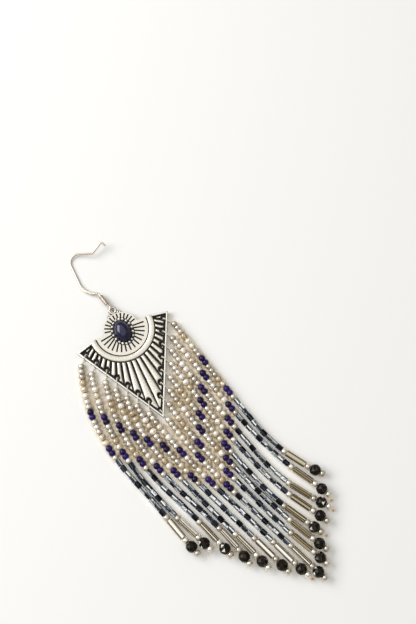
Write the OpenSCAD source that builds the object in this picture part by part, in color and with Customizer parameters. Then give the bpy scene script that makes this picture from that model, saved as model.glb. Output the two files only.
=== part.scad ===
// Beaded fringe earring, lying face up on a table.
// A cast plaque lies along Y, with the ear hook at +Y and fifteen strings of beads at -Y.
// The fringe sweeps to +X, each string along its own easy curve, one layer deep.

/* [Plaque] */
// Half of the width across the two upper corners
corner_x = 15.6; // [14:0.1:16]
// Height of the two upper corners above the plaque's own origin
corner_y = 0.5; // [0:0.1:1]
// Distance from the plaque's own origin down to the tip
tip_drop = 29.6; // [28:0.1:31]
// Half of the width across the shoulders, where the half ring ends
shoulder_x = 8.3; // [8:0.1:9]
// Height of the shoulders above the plaque's own origin
shoulder_y = 2.05; // [1.5:0.05:2.5]
// Radius of the round boss that carries the stone
boss_r = 5.65; // [5.4:0.05:5.9]
// Distance of the boss's centre above the plaque's own origin
boss_y = 1.5; // [1:0.1:2]
// Outer radius of the raised half ring
band_outer_r = 10.5; // [10:0.1:10.8]
// Inner radius of the raised half ring
band_inner_r = 8.6; // [8.5:0.05:8.8]
// Number of dark slots between the fan's bars
fan_slots = 21; // [11:2:25]
// Width of the slots by the upper corners
slot_w = 0.75; // [0.5:0.05:0.8]
// How much narrower the slot towards the tip is
slot_narrowing = 0.35; // [0:0.05:0.4]
// Width of the thin raised rims
rim_w = 0.5; // [0.4:0.05:0.7]

/* [Stone] */
// Width of the oval stone
stone_w = 5.1; // [4.8:0.1:5.2]
// Length of the oval stone, along the plaque
stone_l = 7.2; // [6.8:0.1:7.3]
// Height of the stone above its seat
stone_h = 2.7; // [2:0.1:3]
// Number of granules round the stone
granules = 18; // [14:2:20]
// Diameter of a granule
granule_d = 0.88; // [0.7:0.02:0.95]

/* [Beads] */
// Diameter of a silver seed bead
seed_d = 2.1; // [1.9:0.05:2.2]
// Diameter of a clear seed bead
clear_d = 2.3; // [2.1:0.05:2.3]
// Diameter of a blue seed bead
blue_d = 2.16; // [1.9:0.02:2.2]
// Diameter of a cut tube bead, across its corners
tube_d = 1.8; // [1.6:0.05:1.9]
// Diameter of a bugle bead
bugle_d = 1.84; // [1.7:0.02:2]
// Diameter of a black faceted bead
faceted_d = 3.6; // [3.2:0.1:3.6]
// Diameter of the thread
thread_d = 0.4; // [0.3:0.02:0.44]

/* [Hook] */
// Diameter of the ear wire
wire_d = 0.65; // [0.55:0.05:0.7]
// Width of the hammered part of the wire
flat_w = 1.05; // [0.8:0.05:1.2]
// Outer diameter of the coil round the shank
coil_d = 1.7; // [1.6:0.05:1.8]
// Number of turns of the coil
coil_turns = 9; // [7:1:10]
// Sideways lean of the hook as it lies, in degrees
hook_lean = 9; // [6:0.5:9]

/* [Hidden] */
$fn = 48;
STRANDS = 15;
MIDDLE = 7;
function strand_name(kind, n) = str(kind, n < 10 ? "_0" : "_", n);
function dir(a) = [cos(a), sin(a)];

// Heights above the table
back_z = 0.5;
floor_z = 1.15;
trench_z = 1.4;
granule_z = 1.76;
groove_z = 1.3;
field_z = 1.75;
bar_z = 1.8;
rim_z = 1.85;
ring_z = 1.4;
thread_z = clear_d / 2;

// Outline of the plaque
outline = [
    [corner_x, corner_y], [shoulder_x, shoulder_y], [-shoulder_x, shoulder_y], [-corner_x, corner_y],
    [0, -tip_drop]];
function unit(v) = v / norm(v);
// A corner of the outline moved inward by d from both of its edges
function inset_corner(a, b, c, d) =
    let (u = unit(b - a), v = unit(c - b), nu = [-u.y, u.x], nv = [-v.y, v.x])
    b + d * (nu + nv) / (1 + nu * nv);
function inset_outline(d) =
    [for (i = [0 : 4]) inset_corner(outline[(i + 4) % 5], outline[i], outline[(i + 1) % 5], d)];

// Eyelets for the threads stand in a row inside each lower edge, and one stands at the tip
eyelet_r = 0.42;
eyelet_inset = 1.35;
eyelet_first = 2.42;
eyelet_pitch = 4.1;
eyelet_tip_up = 2.7;
edge = unit([-corner_x, -tip_drop - corner_y]);
inward = [edge.y, -edge.x];
function right_eyelet(k) =
    [corner_x, corner_y] + (eyelet_first + k * eyelet_pitch) * edge + eyelet_inset * inward;
function eyelet(i) =
    i == MIDDLE ? [0, eyelet_tip_up - tip_drop] :
    i > MIDDLE ? right_eyelet(STRANDS - 1 - i) :
    let (p = right_eyelet(i)) [-p.x, p.y];

// The order of the beads on every string, from the plaque to the free end:
// S silver seed, C clear seed, B blue seed, T cut tube, G bugle, F faceted
ORDER = "SSSCCCSSBBSSSCCBBSTTTTTTTTTTSGSFS";
BEADS = len(ORDER);
BUGLE = search("G", ORDER)[0];
FACETED = search("F", ORDER)[0];
seed_pitch = 1.62;
clear_pitch = 2.06;
blue_pitch = 1.65;
tube_pitch = 2.12;
bugle_pitch = 6.8;
faceted_pitch = 3.2;
function pitch(k) = let (c = ORDER[k])
    c == "S" ? seed_pitch : c == "C" ? clear_pitch : c == "B" ? blue_pitch :
    c == "T" ? tube_pitch : c == "G" ? bugle_pitch : faceted_pitch;

// How each string lies: the direction in which its thread leaves the eyelet, then the
// string's heading in its upper, middle and lower runs, along its bugle and at its end,
// and how far apart its beads lie against the pitches above
LEAVE = 0;
SLACK = 6;
LAY = [
    // leave, upper, middle, lower, bugle, end, slack
    [-136, -103, -87, -72, -76, -72, 1.03],
    [-136, -98, -86, -74, -68, -70, 0.985],
    [-119, -97, -83, -68, -72, -72, 0.985],
    [-119, -93, -79, -67, -73, -80, 1],
    [-118, -89, -73, -71, -71, -72, 1],
    [-119, -82, -72, -70, -70, -71, 1.005],
    [-111, -76, -71, -69, -71, -67, 1.005],
    [-75, -76, -71, -69, -70, -68, 0.985],
    [-70, -79, -70, -71, -66, -67, 1],
    [-68, -78, -74, -71, -65, -63, 1],
    [-67, -78, -76, -74, -61, -61, 0.98],
    [-63, -78, -77, -73, -61, -62, 1.01],
    [-62, -78, -76, -77, -59, -54, 1.02],
    [-62, -76, -78, -73, -62, -64, 1.02],
    [-52, -78, -78, -77, -59, -50, 0.99]];
// Distance along the string at which each run's heading is reached
RUN_AT = [7.5, 21, 40, 57, 65];
first_reach = 3.9;

function heading(i, s) = let (r = LAY[i], first = 1.5 * r[1] - 0.5 * r[2])
    lookup(s, concat([[0, first]], [for (j = [0 : 4]) [RUN_AT[j], r[j + 1]]]));
// Distance from the first bead's centre to the centre of bead k, on a string of slack 1
function along(k) = k == 0 ? 0 : along(k - 1) + (pitch(k - 1) + pitch(k)) / 2;
AT = [for (k = [0 : BEADS - 1]) along(k)];
function bead_heading(i, k) = heading(i, LAY[i][SLACK] * AT[k]);
// The last beads climb until the faceted bead lies on the table, on the edge of its belt
lie_z = faceted_d / 2 + 0.02;
climb_run = AT[FACETED] - AT[BUGLE - 1] - pitch(BUGLE - 1) / 2;
function climb(i) = asin((lie_z - thread_z) / (LAY[i][SLACK] * climb_run));
function rise(i, k) = k < BUGLE ? 0 : k == BEADS - 1 ? -climb(i) : climb(i);
function step(i, k) = let (h = bead_heading(i, k), e = rise(i, k))
    LAY[i][SLACK] * pitch(k) / 2 * [cos(h) * cos(e), sin(h) * cos(e), sin(e)];
function first_bead(i) = let (p = eyelet(i) + first_reach * dir(LAY[i][LEAVE])) [p.x, p.y, thread_z];
function next(i, k, p) = k < BEADS - 1 ? p + step(i, k) + step(i, k + 1) : p;
function centres(i) = [for (k = 0, p = first_bead(i); k < BEADS; p = next(i, k, p), k = k + 1) p];

// Lies along the ear wire: a straight length, then a bend of a radius through a turn to the left
wire_r = wire_d / 2;
eye_r = 1.0;
eye_wire_r = 0.29;
ring_y = 8.4;
ring_wire_r = 0.36;
ring_r = 0.98;
shank_heading = 103;
WIRE = [
    // straight, bend radius, turn
    [5.15, 0.7, 55],
    [0.2, 5.7, -68],
    [7.1, 2.6, -116],
    [4.2, 1, 52],
    [3.6, 0.5, -96],
    [1.4, 0, 0]];
FLAT_BEND = 1;
hook_pitch = 0.5;
flat_t = 0.45;
coil_from = 0.55;
coil_wire_d = 0.48;
coil_pitch = 0.46;
coil_bore_r = wire_r + 0.04;

// Moves the origin to the middle of the box round the whole earring, on the table
all_centres = [for (i = [0 : STRANDS - 1]) each centres(i)];
stops = [for (i = [0 : STRANDS - 1]) centres(i)[BEADS - 1]];
stop_reach_y = 0.95;
box_left = min([for (p = all_centres) p.x]) - seed_d / 2;
box_right = max([for (p = stops) p.x]) + seed_d / 2;
box_near = min([for (p = stops) p.y]) - stop_reach_y;
box_far = 31.22;
module placed() {
    translate([-(box_left + box_right) / 2, -(box_near + box_far) / 2, 0]) children();
}

module silver() { color([0.72, 0.70, 0.66]) children(); }

// A round bead with flat ends, along Z
module round_bead(d, length) {
    rotate_extrude() intersection() {
        circle(d = d);
        translate([0, -length / 2]) square([d, length]);
    }
}

// A piece of thread between two points
module thread(a, b, r = thread_d / 2) {
    v = b - a;
    translate(a) rotate([0, acos(v.z / norm(v)), atan2(v.y, v.x)]) cylinder(r = r, h = norm(v), $fn = 16);
}

// Turns Z to the heading and rise of bead k of string i, at its place
module at_bead(i, k) {
    translate(centres(i)[k]) rotate([0, 90 - rise(i, k), bead_heading(i, k)]) children();
}

bead_gap = 0.12;
module seed_or_tube(k) {
    c = ORDER[k];
    if (c == "S") round_bead(seed_d, seed_pitch - bead_gap);
    if (c == "C") round_bead(clear_d, clear_pitch - bead_gap);
    if (c == "B") round_bead(blue_d, blue_pitch - bead_gap);
    if (c == "T") cylinder(d = tube_d, h = tube_pitch - bead_gap, center = true, $fn = 6);
}

// The thread's loop over the rim, down through the eyelet and back beneath, in the
// upright plane of the eyelet and the first bead: distance from the bead, and height
loop_thread_r = 0.15;
loop_knee_r = 0.17;
LOOP = [[0.4, 1.35], [1.0, 1.45], [1.9, 2.08], [3.65, 2.1], [first_reach, 1.85],
        [first_reach, 0.45], [3.65, 0.22], [1.9, 0.22], [1.0, 0.8], [0.4, 0.9]];
module thread_loop(i) {
    back = dir(LAY[i][LEAVE] + 180);
    p = first_bead(i);
    pts = [for (q = LOOP) [p.x + q[0] * back.x, p.y + q[0] * back.y, q[1]]];
    for (j = [0 : len(pts) - 2]) thread(pts[j], pts[j + 1], loop_thread_r);
    for (j = [1 : len(pts) - 2]) translate(pts[j]) sphere(r = loop_knee_r, $fn = 16);
}

// One string: the beads too small to be parts of their own, joined along their thread.
// The thread shows between neighbours, and it runs through the bugle and the faceted bead.
thread_hold = 0.35;
function own_part(k) = k == BUGLE || k == FACETED;
module strand(i) {
    c = centres(i);
    color([0.80, 0.79, 0.75]) union() {
        for (k = [0 : BEADS - 2]) if (!own_part(k)) {
            m = own_part(k + 1) ? k + 2 : k + 1;
            v = unit(c[m] - c[k]);
            thread(c[k] + (pitch(k) / 2 - thread_hold) * v, c[m] - (pitch(m) / 2 - thread_hold) * v);
        }
        for (k = [0 : BEADS - 1]) at_bead(i, k) seed_or_tube(k);
        thread_loop(i);
    }
}

bead_bore_r = 0.36;
end_play = 0.09;
module bugle(i) {
    color([0.76, 0.68, 0.55]) at_bead(i, BUGLE) difference() {
        cylinder(d = bugle_d, h = bugle_pitch - 2 * end_play, center = true);
        cylinder(r = bead_bore_r, h = bugle_pitch, center = true);
    }
}

// A fire-polished bead: rings of flat facets about its bore
facet_sides = 8;
facet_belt_w = 0.45;
facet_end_r = 0.95;
module faceted(i) {
    half = (faceted_pitch - 2 * end_play) / 2;
    r = faceted_d / 2;
    color([0.08, 0.07, 0.07]) at_bead(i, FACETED) difference() {
        rotate_extrude($fn = facet_sides)
            polygon([[0, -half], [facet_end_r, -half], [0.86 * r, -0.5 * half], [r, -facet_belt_w / 2],
                     [r, facet_belt_w / 2], [0.86 * r, 0.5 * half], [facet_end_r, half], [0, half]]);
        cylinder(r = bead_bore_r, h = 2 * faceted_d, center = true);
    }
}

// Flat shapes of the plaque, seen from above
fan_focus_y = 7;
slot_span = 168;
channel_w = 0.65;
fan_gap = 0.2;
slot_start = 0.5;
eyelet_recess_r = 1.05;
function slot_width(k) = slot_w - slot_narrowing * (1 - abs(2 * k / (fan_slots - 1) - 1));
module fan() {
    step_a = slot_span / (fan_slots - 1);
    difference() {
        polygon(inset_outline(rim_w + channel_w));
        translate([0, boss_y]) circle(r = band_outer_r + fan_gap);
        for (k = [0 : fan_slots - 1]) {
            p = [0, boss_y] + band_outer_r * dir(-90 - slot_span / 2 + k * step_a);
            a = atan2(p.y - fan_focus_y, p.x);
            w = slot_width(k);
            translate(p) rotate(a) translate([-slot_start, -w / 2]) square([tip_drop, w]);
        }
        for (i = [0 : STRANDS - 1]) translate(eyelet(i)) circle(r = eyelet_recess_r, $fn = 24);
    }
}
module rims() {
    difference() {
        polygon(outline);
        polygon(inset_outline(rim_w));
        translate([0, boss_y]) circle(r = band_outer_r);
    }
}
// How far a raised piece is let into the base
let_in = 0.1;
module slab(from_z, to_z) {
    translate([0, 0, from_z]) linear_extrude(to_z - from_z) children();
}

// The half ring, round-backed, ending at the shoulders
band_round_r = 2.1;
band_top_z = 2.15;
module half_ring() {
    intersection() {
        translate([0, boss_y, 0]) rotate_extrude() translate([(band_outer_r + band_inner_r) / 2, 0])
            intersection() {
                translate([0, band_top_z - band_round_r]) circle(r = band_round_r);
                translate([-(band_outer_r - band_inner_r) / 2, back_z + let_in])
                    square([band_outer_r - band_inner_r, band_top_z]);
            }
        slab(back_z + let_in / 2, band_top_z + 1) polygon(outline);
    }
}

// Points on an oval about the stone
stone_x = 0.1;
stone_y = 0.76;
seat_play = 0.06;
function oval(a, b, n) =
    [for (j = [0 : n - 1]) [stone_x + a * cos(360 * j / n), stone_y + b * sin(360 * j / n)]];
granule_gap = 0.12;
module granule_ring() {
    reach = granule_d / 2 + granule_gap;
    for (p = oval(stone_w / 2 + reach, stone_l / 2 + reach, granules))
        translate([p.x, p.y, granule_z]) sphere(d = granule_d, $fn = 24);
}

// Grooves that radiate from the boss's centre: long ones below it and short ones above it.
// They fill a half turn, less an angle at either side.
long_rays = 15;
long_ray_r = 7.35;
long_side_a = 6;
short_rays = 12;
short_ray_r = 5.35;
short_side_a = 14.1;
ray_from_r = 3.4;
ray_w = 0.5;
module rays(count, turn, side_a, r_out) {
    for (k = [0 : count - 1]) {
        a = turn + side_a + k * (180 - 2 * side_a) / (count - 1);
        translate([0, boss_y, groove_z]) rotate(a) translate([ray_from_r, -ray_w / 2, 0])
            cube([r_out - ray_from_r, ray_w, 2]);
    }
}

// The ring that carries the ear hook, with two granules at each side: x, y, radius
RING_GRANULES = [[1.3, 7.25, 0.45], [2.05, 6.95, 0.4]];
module cast_ring() {
    translate([0, ring_y, ring_z]) rotate_extrude() translate([ring_r, 0]) circle(r = ring_wire_r, $fn = 24);
    for (g = RING_GRANULES, side = [-1, 1]) translate([side * g.x, g.y, ring_z]) sphere(r = g.z, $fn = 24);
}

arc_groove_w = 0.25;
arc_stop = 0.3;
trench_margin = 0.2;
module plaque() {
    silver() difference() {
        union() {
            slab(back_z, floor_z) polygon(outline);
            slab(floor_z - let_in, bar_z) fan();
            slab(floor_z - let_in, rim_z) rims();
            half_ring();
            // Field inside the half ring
            slab(floor_z - let_in, field_z) intersection() {
                polygon(outline);
                translate([0, boss_y]) circle(r = band_inner_r + let_in);
            }
            slab(back_z + let_in / 2, field_z) translate([0, boss_y]) circle(r = boss_r);
            cast_ring();
        }
        // Thin arc between the field and the half ring
        translate([0, boss_y, groove_z]) difference() {
            cylinder(r = band_inner_r, h = 2);
            translate([0, 0, -1]) cylinder(r = band_inner_r - arc_groove_w, h = 4);
            translate([-corner_x, shoulder_y - boss_y - arc_stop, -1]) cube([2 * corner_x, corner_x, 4]);
        }
        rays(long_rays, 180, long_side_a, long_ray_r);
        rays(short_rays, 0, short_side_a, short_ray_r);
        // Trench for the granules and the stone
        trench = granule_d + trench_margin;
        slab(trench_z, 4) polygon(oval(stone_w / 2 + trench, stone_l / 2 + trench, 64));
        for (i = [0 : STRANDS - 1]) {
            p = eyelet(i);
            translate([p.x, p.y, 0]) cylinder(r = eyelet_r, h = 3, $fn = 24);
        }
    }
    silver() granule_ring();
}

// The stone's height over its oval, from the girdle to the top
stone_rows = 9;
stone_sides = 48;
girdle_h = 0.5;
stone_top_a = 86;
module stone() {
    rows = [[1, 0], for (j = [0 : stone_rows]) let (t = stone_top_a * j / stone_rows)
        [cos(t), girdle_h + (stone_h - girdle_h) * sin(t)]];
    a = stone_w / 2 - seat_play;
    b = stone_l / 2 - seat_play;
    pts = [for (row = rows) for (p = oval(a * row[0], b * row[0], stone_sides))
        [p.x, p.y, trench_z + seat_play + row[1]]];
    color([0.11, 0.11, 0.36]) polyhedron(pts, ring_faces(len(rows), stone_sides), convexity = 4);
}

// Runs along the wire: where each straight length starts, and its heading
function wire_state(j, p = [0, 0], h = shank_heading, n = 0) = n == j ? [p, h] :
    let (w = WIRE[n], q = p + w[0] * dir(h), side = sign(w[2]), c = q + w[1] * dir(h + 90 * side))
    wire_state(j, w[1] == 0 ? q : c + w[1] * dir(h + w[2] - 90 * side), h + w[2], n + 1);

// Points along the wire's middle line: x, y, heading, half width, half thickness
sweep_r = wire_r - 0.01;
sweep_over = 0.2;
bend_step = 11;
function flatten(f) = min(1, 4.5 * min(f, 1 - f));
function bend_points(q, h, r, turn, flat) =
    let (side = sign(turn), c = q + r * dir(h + 90 * side), n = ceil(abs(turn) / bend_step) + (flat ? 4 : 0))
    [for (m = [0 : n])
        let (a = h + turn * m / n, p = c + r * dir(a - 90 * side), f = flat ? flatten(m / n) : 0)
        [p.x, p.y, a, sweep_r + f * (flat_w / 2 - sweep_r), sweep_r + f * (flat_t / 2 - sweep_r)]];
WIRE_LAST = len(WIRE) - 1;
wire_line = concat(
    [[0, 0, shank_heading, sweep_r, sweep_r]],
    [for (j = [0 : WIRE_LAST - 1]) let (s = wire_state(j), w = WIRE[j])
        each bend_points(s[0] + w[0] * dir(s[1]), s[1], w[1], w[2], j == FLAT_BEND)],
    [let (s = wire_state(WIRE_LAST), p = s[0] + sweep_over * dir(s[1])) [p.x, p.y, s[1], sweep_r, sweep_r]]);
wire_sides = 12;
// A solid through rings of points: every ring has the same count, and they run from base to top
function ring_faces(rings, n) = concat(
    [for (j = [0 : rings - 2]) for (k = [0 : n - 1]) let (m = (k + 1) % n, q = j * n)
        [q + k, q + k + n, q + m + n, q + m]],
    [[for (k = [0 : n - 1]) k]],
    [[for (k = [n - 1 : -1 : 0]) (rings - 1) * n + k]]);
module wire_run() {
    pts = [for (w = wire_line) for (k = [0 : wire_sides - 1])
        let (f = 360 * k / wire_sides, side = w[3] * cos(f) * dir(w[2] + 90))
        [w[0] + side.x, w[1] + side.y, w[4] * sin(f)]];
    polyhedron(pts, ring_faces(len(wire_line), wire_sides), convexity = 8);
    // The free end is round, for the ear
    s = wire_state(WIRE_LAST);
    translate([s[0].x, s[0].y, 0]) rotate([0, 90, s[1]])
        cylinder(r = wire_r, h = WIRE[WIRE_LAST][0], $fn = 24);
}
// The hook's own plane starts at the far side of its eye and leans as it lies
module in_hook_plane() {
    p = [0, ring_y] + 2 * eye_r * dir(shank_heading);
    translate([p.x, p.y, ring_z]) rotate([-hook_pitch, -hook_lean, 0]) children();
}
module ear_hook() {
    centre = [0, ring_y] + eye_r * dir(shank_heading);
    silver() union() {
        in_hook_plane() wire_run();
        translate([centre.x, centre.y, ring_z]) rotate([90, 0, shank_heading])
            rotate_extrude() translate([eye_r, 0]) circle(r = eye_wire_r, $fn = 24);
    }
}
module hook_coil() {
    silver() in_hook_plane() rotate([0, 90, shank_heading]) translate([0, 0, coil_from]) difference() {
        union() {
            cylinder(d = coil_d - coil_wire_d, h = coil_turns * coil_pitch);
            for (n = [0 : coil_turns - 1]) translate([0, 0, (n + 0.5) * coil_pitch])
                rotate_extrude() translate([(coil_d - coil_wire_d) / 2, 0]) circle(d = coil_wire_d, $fn = 16);
        }
        translate([0, 0, -1]) cylinder(r = coil_bore_r, h = 8);
    }
}

placed() ear_hook();
placed() hook_coil();
placed() plaque();
placed() stone();
for (n = [1 : STRANDS]) {
    placed() strand(n - 1);
    placed() bugle(n - 1);
    placed() faceted(n - 1);
}
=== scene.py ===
"""The looks of a beaded fringe earring that lies face up on a pale surface.

Lengths are in millimetres until a mesh is made.
"""

import math

import bmesh
import bpy
import numpy as np
from mathutils import Matrix, Vector


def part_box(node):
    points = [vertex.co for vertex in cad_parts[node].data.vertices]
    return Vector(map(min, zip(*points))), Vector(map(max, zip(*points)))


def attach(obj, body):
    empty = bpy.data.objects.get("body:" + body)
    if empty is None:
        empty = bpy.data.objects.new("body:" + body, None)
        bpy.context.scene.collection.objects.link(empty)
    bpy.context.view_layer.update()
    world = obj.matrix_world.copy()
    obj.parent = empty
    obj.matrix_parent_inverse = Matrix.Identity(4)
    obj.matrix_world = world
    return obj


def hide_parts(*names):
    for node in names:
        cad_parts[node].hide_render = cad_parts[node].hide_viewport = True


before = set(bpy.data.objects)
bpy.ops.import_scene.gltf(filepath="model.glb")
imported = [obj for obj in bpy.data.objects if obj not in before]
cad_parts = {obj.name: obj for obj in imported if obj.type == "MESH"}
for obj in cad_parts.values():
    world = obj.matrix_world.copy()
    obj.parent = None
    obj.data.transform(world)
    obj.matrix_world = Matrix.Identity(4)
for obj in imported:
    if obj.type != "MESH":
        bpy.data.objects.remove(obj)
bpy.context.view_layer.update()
MM = 0.001

# The plaque's outline and layout, as the part has them

CORNER_X, CORNER_Y, TIP_DROP = 15.6, 0.5, 29.6
SHOULDER_X, SHOULDER_Y = 8.3, 2.05
OUTLINE = np.array([
    [CORNER_X, CORNER_Y], [SHOULDER_X, SHOULDER_Y], [-SHOULDER_X, SHOULDER_Y], [-CORNER_X, CORNER_Y],
    [0, -TIP_DROP]])
BOSS_Y, BAND_OUTER_R = 1.5, 10.5
FAN_SLOTS, SLOT_W, SLOT_NARROWING, SLOT_SPAN, FAN_FOCUS_Y = 21, 0.75, 0.35, 168.0, 7.0
FAN_INSET, FAN_GAP, EYELET_RECESS_R = 1.15, 0.2, 1.05
STONE_AT, STONE_A, STONE_B, STONE_Z, STONE_H = (0.1, 0.76), 2.49, 3.54, 1.46, 2.7
GIRDLE_H, STONE_PLAY = 0.5, 0.06
GRANULES, GRANULE_R, GRANULE_GAP, GRANULE_Z = 18, 0.44, 0.12, 1.76

# How far the part's own drawing is moved in the frame, read from where the stone is
stone_low, stone_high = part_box("stone")
MOVE = np.array([
    (stone_low.x + stone_high.x) / 2 / MM - STONE_AT[0],
    (stone_low.y + stone_high.y) / 2 / MM - STONE_AT[1], 0])


def unit(v):
    """The vector v at length 1."""
    return np.asarray(v, float) / np.linalg.norm(v)


def direction(degrees):
    """The level direction at a heading, counted from +X towards +Y."""
    return np.array([math.cos(math.radians(degrees)), math.sin(math.radians(degrees))])


def inset_outline(d):
    """The plaque's five corners, moved inward by d from their edges."""
    corners = []
    for i in range(5):
        u, v = unit(OUTLINE[i] - OUTLINE[i - 1]), unit(OUTLINE[(i + 1) % 5] - OUTLINE[i])
        nu, nv = np.array([-u[1], u[0]]), np.array([-v[1], v[0]])
        corners.append(OUTLINE[i] + d * (nu + nv) / (1 + nu @ nv))
    return np.array(corners)


# The strings of beads, as the part has them: S is a silver bead, C clear, B cobalt blue, T a cut tube,
# G a bugle and F a black faceted bead

STRINGS, MIDDLE = 15, 7
ORDER = "SSSCCCSSBBSSSCCBBSTTTTTTTTTTSGSFS"
BUGLE, FACETED, STOP = ORDER.index("G"), ORDER.index("F"), len(ORDER) - 1
PITCH = {"S": 1.62, "C": 2.06, "B": 1.65, "T": 2.12, "G": 6.8, "F": 3.2}
THREAD_Z, FACETED_R, LIE_PLAY, FIRST_REACH = 1.15, 1.8, 0.02, 3.9
EYELET_FIRST, EYELET_PITCH, EYELET_INSET, EYELET_TIP_UP = 2.42, 4.1, 1.35, 2.7
# Each string's headings: leaving the eyelet, then in its upper, middle and lower runs, along its bugle
# and at its end. The last number is how far apart its beads lie against the pitches above.
LAY = [
    [-136, -103, -87, -72, -76, -72, 1.03],
    [-136, -98, -86, -74, -68, -70, 0.985],
    [-119, -97, -83, -68, -72, -72, 0.985],
    [-119, -93, -79, -67, -73, -80, 1],
    [-118, -89, -73, -71, -71, -72, 1],
    [-119, -82, -72, -70, -70, -71, 1.005],
    [-111, -76, -71, -69, -71, -67, 1.005],
    [-75, -76, -71, -69, -70, -68, 0.985],
    [-70, -79, -70, -71, -66, -67, 1],
    [-68, -78, -74, -71, -65, -63, 1],
    [-67, -78, -76, -74, -61, -61, 0.98],
    [-63, -78, -77, -73, -61, -62, 1.01],
    [-62, -78, -76, -77, -59, -54, 1.02],
    [-62, -76, -78, -73, -62, -64, 1.02],
    [-52, -78, -78, -77, -59, -50, 0.99],
]
# How far along a string its headings hold. The first one is carried back from the next two.
RUN_AT = [0, 7.5, 21, 40, 57, 65]
# The thread's loop through the eyelet: how far back from the first bead, and how high
LOOP = [
    (0.4, 1.35), (1.0, 1.45), (1.9, 2.08), (3.65, 2.1), (3.9, 1.85),
    (3.9, 0.45), (3.65, 0.22), (1.9, 0.22), (1.0, 0.8), (0.4, 0.9)]


def eyelet(i):
    """The middle of the eyelet that string i hangs from."""
    if i == MIDDLE:
        return np.array([0, EYELET_TIP_UP - TIP_DROP])
    edge = unit([-CORNER_X, -TIP_DROP - CORNER_Y])
    inward = np.array([edge[1], -edge[0]])
    k = STRINGS - 1 - i if i > MIDDLE else i
    p = np.array([CORNER_X, CORNER_Y]) + (EYELET_FIRST + k * EYELET_PITCH) * edge + EYELET_INSET * inward
    return p if i > MIDDLE else p * [-1, 1]


def string_run(i):
    """The centres, headings and rises of string i's beads, and its loop's points."""
    *lay, slack = LAY[i]
    half = np.array([PITCH[kind] / 2 for kind in ORDER]) * slack
    at = np.concatenate([[0], np.cumsum(half[:-1] + half[1:])])
    climb_run = at[FACETED] - at[BUGLE - 1] - half[BUGLE - 1]
    climb = math.degrees(math.asin((FACETED_R + LIE_PLAY - THREAD_Z) / climb_run))
    rises = np.array([0.0 if k < BUGLE else -climb if k == STOP else climb for k in range(len(ORDER))])
    heads = np.interp(at, RUN_AT, [1.5 * lay[1] - 0.5 * lay[2], *lay[1:]])
    h, e = np.radians(heads), np.radians(rises)
    steps = half[:, None] * np.stack([np.cos(h) * np.cos(e), np.sin(h) * np.cos(e), np.sin(e)], 1)
    first = np.append(eyelet(i) + FIRST_REACH * direction(lay[0]), THREAD_Z)
    centres = first + np.concatenate([[[0, 0, 0]], np.cumsum(steps[:-1] + steps[1:], 0)])
    back = direction(lay[0] + 180)
    loop = np.array([[first[0] + d * back[0], first[1] + d * back[1], z] for d, z in LOOP])
    return centres + MOVE, heads, rises, loop + MOVE


RUNS = [string_run(i) for i in range(STRINGS)]


# Meshes

def mesh_object(name, points, faces, smooth=True):
    """A mesh object from points in millimetres, with its faces turned outward."""
    mesh = bpy.data.meshes.new(name)
    mesh.from_pydata([tuple(np.asarray(p, float) * MM) for p in points], [], faces)
    bm = bmesh.new()
    bm.from_mesh(mesh)
    bmesh.ops.remove_doubles(bm, verts=bm.verts, dist=1e-7)
    bmesh.ops.recalc_face_normals(bm, faces=bm.faces)
    bm.to_mesh(mesh)
    bm.free()
    mesh.polygons.foreach_set("use_smooth", [smooth] * len(mesh.polygons))
    piece = bpy.data.objects.new(name, mesh)
    bpy.context.scene.collection.objects.link(piece)
    return piece


def skin(rings, caps=True, loop=False):
    """Points and faces of a skin over equal closed rings of points. A loop joins the last ring to the first."""
    count, n = len(rings), len(rings[0])
    points = [p for ring in rings for p in ring]
    faces = []
    for j in range(count if loop else count - 1):
        a, b = j * n, (j + 1) % count * n
        for k in range(n):
            m = (k + 1) % n
            faces.append((a + k, b + k, b + m, a + m))
    if caps and not loop:
        faces += [tuple(range(n)), tuple(range((count - 1) * n, count * n))]
    return points, faces


def turned(name, profile, sides, smooth=True, offsets=None, spread=0.5):
    """A closed profile of (radius, height) turned about Z. Offsets turn its rows by shares of a side.

    Every second side is wide when spread is over a half.
    """
    rings = []
    for j, (r, z) in enumerate(profile):
        shift = offsets[j] if offsets else 0
        angles = [2 * math.pi / sides * (k + shift + (2 * spread - 1 if k % 2 else 0)) for k in range(sides)]
        rings.append([(r * math.cos(a), r * math.sin(a), z) for a in angles])
    return mesh_object(name, *skin(rings, loop=True), smooth=smooth)


def finished(piece, material, slot, *nodes):
    """Gives a piece its material, body and the nodes that it stands for. Its slot is not used."""
    piece.data.materials.clear()
    piece.data.materials.append(material)
    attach(piece, "root")
    if nodes:
        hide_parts(*nodes)


def smooth_by_angle(piece, degrees):
    piece.data.set_sharp_from_angle(angle=math.radians(degrees))


def mark_upward(piece, least=-1.0):
    """Stores how far the surface faces up, for the shade painted on sloped and steep faces. A high least keeps them
    bright.
    """
    mesh = piece.data
    upward = mesh.attributes.new("upward", "FLOAT", "CORNER")
    upward.data.foreach_set("value", [max(least, n.vector.z) for n in mesh.corner_normals])


# Materials

BUMP_DEPTH = 0.03


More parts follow.
